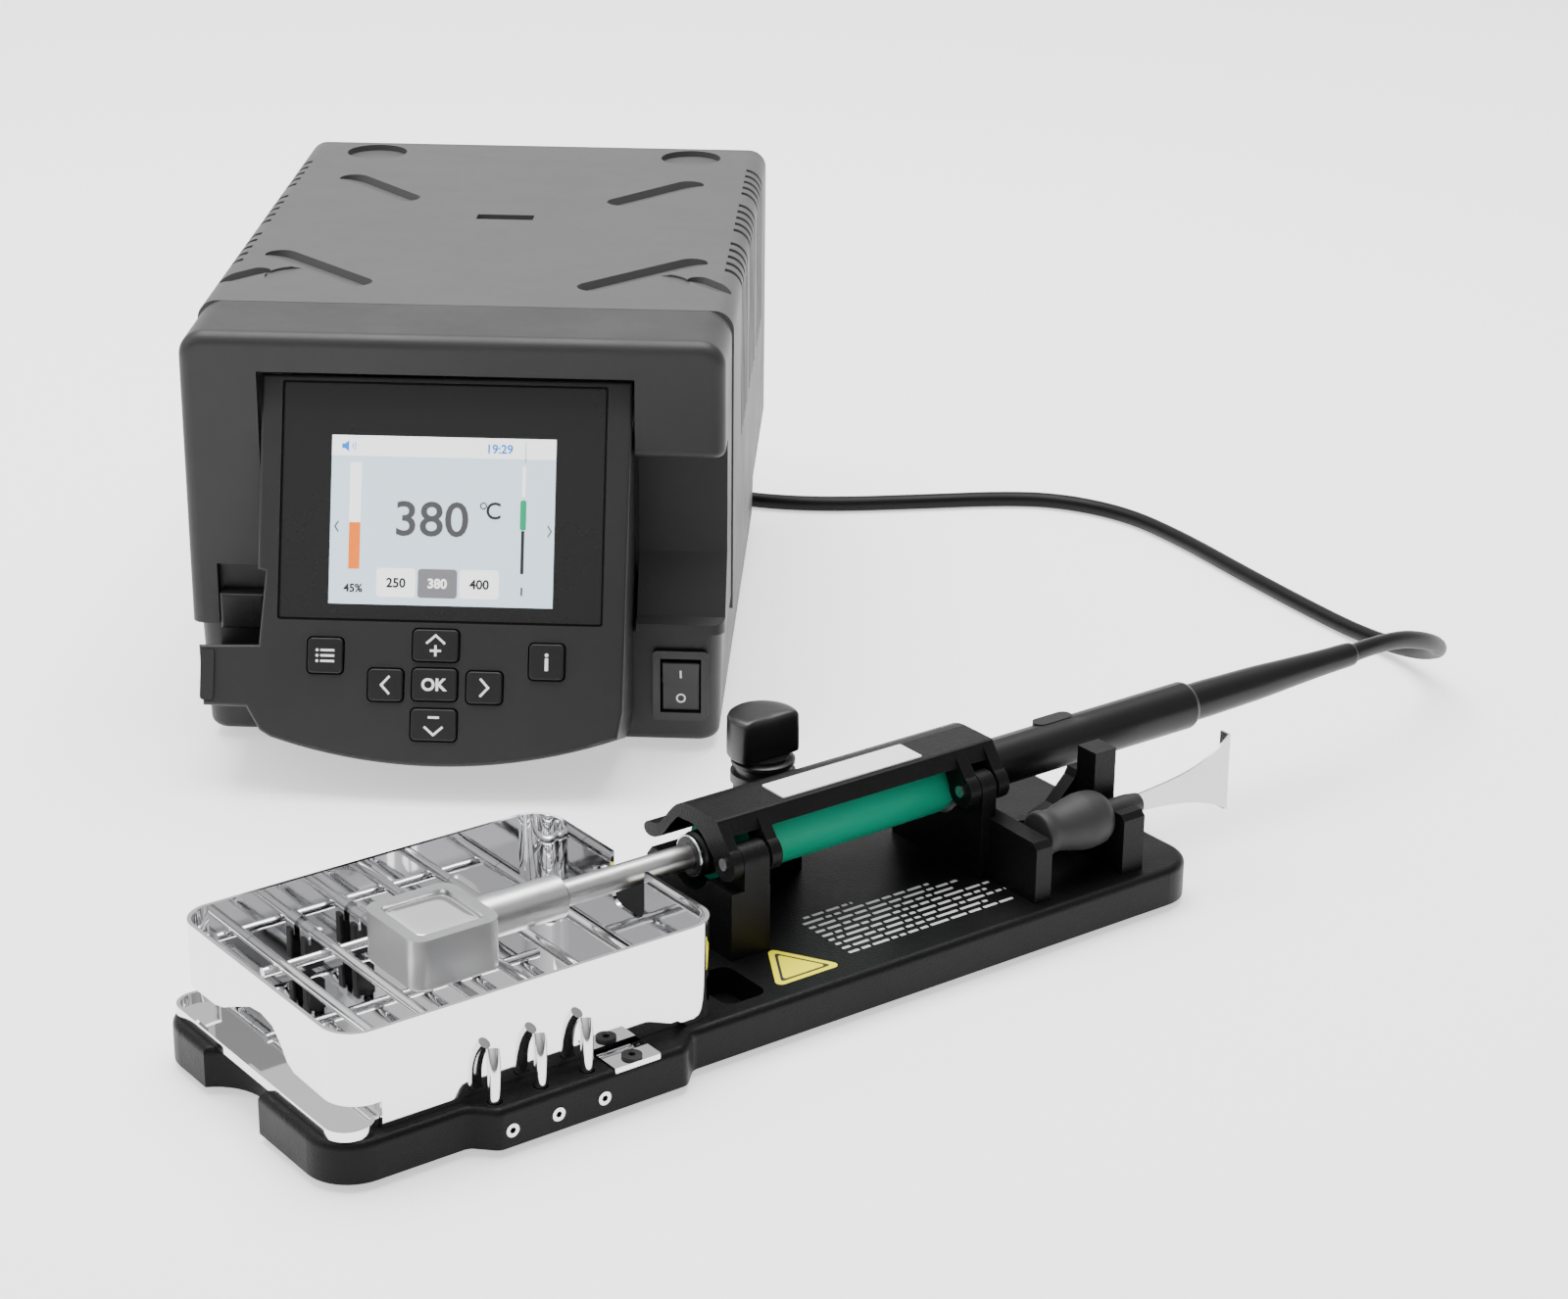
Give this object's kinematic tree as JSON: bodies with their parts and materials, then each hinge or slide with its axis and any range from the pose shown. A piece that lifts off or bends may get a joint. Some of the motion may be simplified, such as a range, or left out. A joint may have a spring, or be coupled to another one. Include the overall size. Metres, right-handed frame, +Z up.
{
  "type": "soldering iron station",
  "caption": "Soldering iron station: a table-top control unit with colour display and keys, a cast stand holding a handset with a solder pot, and its cord.",
  "frame": {"origin": "centre of the object's footprint box on the table, the cord left out", "axes": "+X to the control unit's right, +Y to its back, +Z up"},
  "size_m": [0.3542, 0.5618, 0.12],
  "materials": {
    "cover_plastic": "fine moulded grain",
    "hood_plastic": "soft matte",
    "key_plastic": "soft matte",
    "lens": "hard coated",
    "display": "backlit",
    "board": "solder mask",
    "panel_steel": "powder coat",
    "winding": "taped winding",
    "aluminium": "extruded",
    "black_plastic": "satin",
    "socket_metal": "nickel plated",
    "zinc_steel": "zinc plated",
    "rubber": "matt",
    "casting": "textured coat",
    "mirror_steel": "polished",
    "pot_steel": "heat-toned satin",
    "solder": "molten tin",
    "grip_foam": "soft foam",
    "handle_plastic": "satin",
    "label": "matt film",
    "scraper_rubber": "soft matt",
    "blade_steel": "brushed",
    "cord_pvc": "satin"
  },
  "bodies": {
    "station": {"top_cover": "cover_plastic", "front_bezel": "hood_plastic", "base_tray": "hood_plastic", "rear_panel": "panel_steel", "console_housing": "hood_plastic", "display_glass": "lens", "lcd_module": "display", "keypad_board": "board", "switch_housing": "black_plastic", "main_board": "board", "toroid_transformer": "winding", "toroid_bolt": "zinc_steel", "heat_sink": "aluminium", "mains_inlet": "black_plastic", "tool_sockets": "socket_metal", "earth_terminal": "socket_metal", "unit_feet": "rubber", "case_screws": "zinc_steel", "stand_base": "casting", "stand_feet": "rubber", "splash_guard": "mirror_steel", "cross_bars": "mirror_steel", "rest_posts": "black_plastic", "finger_rods": "mirror_steel", "set_screws": "mirror_steel", "wear_pads": "mirror_steel", "pad_screws": "black_plastic", "hinge_pins": "zinc_steel", "knob_collar": "black_plastic", "handle_body": "handle_plastic", "handle_grip": "grip_foam", "handle_collar": "handle_plastic", "strain_relief": "rubber", "cord_front": "cord_pvc", "cord_coil": "cord_pvc", "cord_rear": "cord_pvc", "cord_connector": "black_plastic"},
    "rocker": {"power_rocker": "black_plastic"},
    "latch": {"console_latch": "hood_plastic"},
    "fuse": {"fuse_drawer": "black_plastic"},
    "lid": {"clamp_lid": "casting", "lid_plate": "label"},
    "knob": {"clamp_knob": "black_plastic", "clamp_screw": "zinc_steel"},
    "tray": {"drip_tray": "mirror_steel"},
    "cartridge": {"cartridge_shaft": "pot_steel", "solder_pot": "pot_steel", "solder_pool": "solder"},
    "scraper": {"scraper_handle": "scraper_rubber", "scraper_ferrule": "black_plastic", "scraper_blade": "blade_steel"},
    "button_menu": {"key_menu": "key_plastic"},
    "button_up": {"key_up": "key_plastic"},
    "button_left": {"key_left": "key_plastic"},
    "button_ok": {"key_ok": "key_plastic"},
    "button_right": {"key_right": "key_plastic"},
    "button_info": {"key_info": "key_plastic"},
    "button_down": {"key_down": "key_plastic"}
  },
  "joints": [
    {"name": "power_rock", "type": "hinge", "parent": "station", "child": "rocker", "pos_m": [-0.02557, 0.017, 0.0205], "axis": [-1, 0, 0], "range_deg": [0, 12]},
    {"name": "press_menu", "type": "slide", "parent": "station", "child": "button_menu", "axis": [0, 0.9272, -0.3746], "range_m": [0, 0.0008], "stiffness_N_per_m": 400},
    {"name": "press_up", "type": "slide", "parent": "station", "child": "button_up", "axis": [0, 0.9272, -0.3746], "range_m": [0, 0.0008], "stiffness_N_per_m": 400},
    {"name": "press_left", "type": "slide", "parent": "station", "child": "button_left", "axis": [0, 0.9272, -0.3746], "range_m": [0, 0.0008], "stiffness_N_per_m": 400},
    {"name": "press_ok", "type": "slide", "parent": "station", "child": "button_ok", "axis": [0, 0.9272, -0.3746], "range_m": [0, 0.0008], "stiffness_N_per_m": 400},
    {"name": "press_right", "type": "slide", "parent": "station", "child": "button_right", "axis": [0, 0.9272, -0.3746], "range_m": [0, 0.0008], "stiffness_N_per_m": 400},
    {"name": "press_info", "type": "slide", "parent": "station", "child": "button_info", "axis": [0, 0.9272, -0.3746], "range_m": [0, 0.0008], "stiffness_N_per_m": 400},
    {"name": "press_down", "type": "slide", "parent": "station", "child": "button_down", "axis": [0, 0.9272, -0.3746], "range_m": [0, 0.0008], "stiffness_N_per_m": 400},
    {"name": "latch_slide", "type": "slide", "parent": "station", "child": "latch", "axis": [0, 0, -1], "range_m": [0, 0.003], "stiffness_N_per_m": 250},
    {"name": "fuse_pull", "type": "slide", "parent": "station", "child": "fuse", "axis": [0, 1, 0], "range_m": [0, 0.012]},
    {"name": "lid_hinge", "type": "hinge", "parent": "station", "child": "lid", "pos_m": [0.02686, -0.10763, 0.0359], "axis": [0.7764, 0.6303, 0], "range_deg": [0, 110]},
    {"name": "knob_turn", "type": "hinge", "parent": "station", "child": "knob", "pos_m": [0.00118, -0.07283, 0.0357], "axis": [0, 0, 1], "range_deg": [0, 360]},
    {"name": "tray_slide", "type": "slide", "parent": "station", "child": "tray", "axis": [-0.7764, -0.6303, 0], "range_m": [0, 0.06]},
    {"name": "cartridge_pull", "type": "slide", "parent": "station", "child": "cartridge", "axis": [-0.7764, -0.6303, 0], "range_m": [0, 0.025]},
    {"name": "scraper_lift", "type": "slide", "parent": "station", "child": "scraper", "axis": [0, 0, 1], "range_m": [0, 0.03]}
  ]
}
